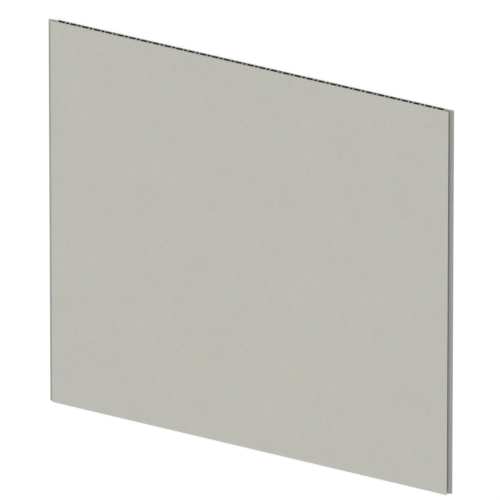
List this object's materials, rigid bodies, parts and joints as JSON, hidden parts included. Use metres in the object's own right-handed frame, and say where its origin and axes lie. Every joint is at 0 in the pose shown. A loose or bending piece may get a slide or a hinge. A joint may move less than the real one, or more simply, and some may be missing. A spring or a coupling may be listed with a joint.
{
  "type": "decorative wall panel",
  "caption": "Square hollow-core extruded wall panel with a smooth matt face, a tongue along one edge and a groove with a back flange along the other.",
  "frame": {"origin": "centre of the panel's outline, tongue and flange included, on the back plane that it lies on", "axes": "+Z out of the decorative face, +X across the cells from the tongue to the groove, Y along the extrusion"},
  "size_m": [0.609, 0.6, 0.008],
  "materials": {
    "panel": "matte"
  },
  "bodies": {
    "root": {"wall_panel": "panel"}
  },
  "joints": []
}
